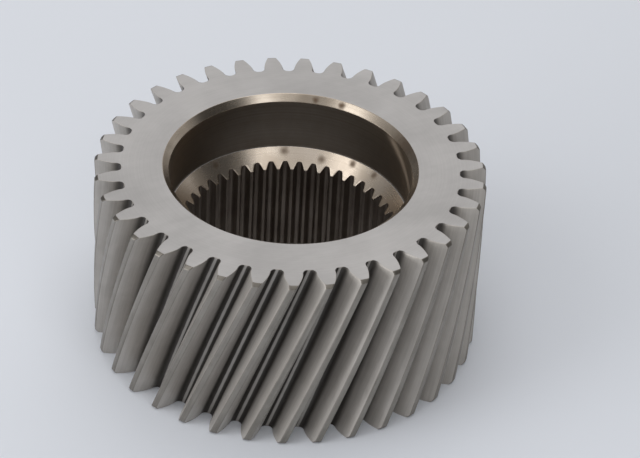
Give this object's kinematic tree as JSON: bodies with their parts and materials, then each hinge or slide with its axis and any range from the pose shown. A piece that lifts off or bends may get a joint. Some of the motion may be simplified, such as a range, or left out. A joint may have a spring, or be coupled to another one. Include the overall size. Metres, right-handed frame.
{
  "type": "helical gear",
  "caption": "Wide right-hand helical steel gear ring with a chamfered counterbore and an internally splined sleeve in its bore.",
  "frame": {"origin": "on the gear's axis, in the plane of the lower side face that it rests on", "axes": "+Z along the gear's axis, from the lower side face to the face with the counterbore; +X through a tooth space of both the helical teeth and the splines at z = 0"},
  "size_m": [0.2148, 0.2148, 0.108],
  "materials": {
    "gear_steel": "ground and hobbed alloy steel, satin, lightly oiled",
    "sleeve_steel": "turned and broached alloy steel, satin, with a warm oil film"
  },
  "bodies": {
    "root": {"gear_rim": "gear_steel", "spline_sleeve": "sleeve_steel"}
  },
  "joints": []
}
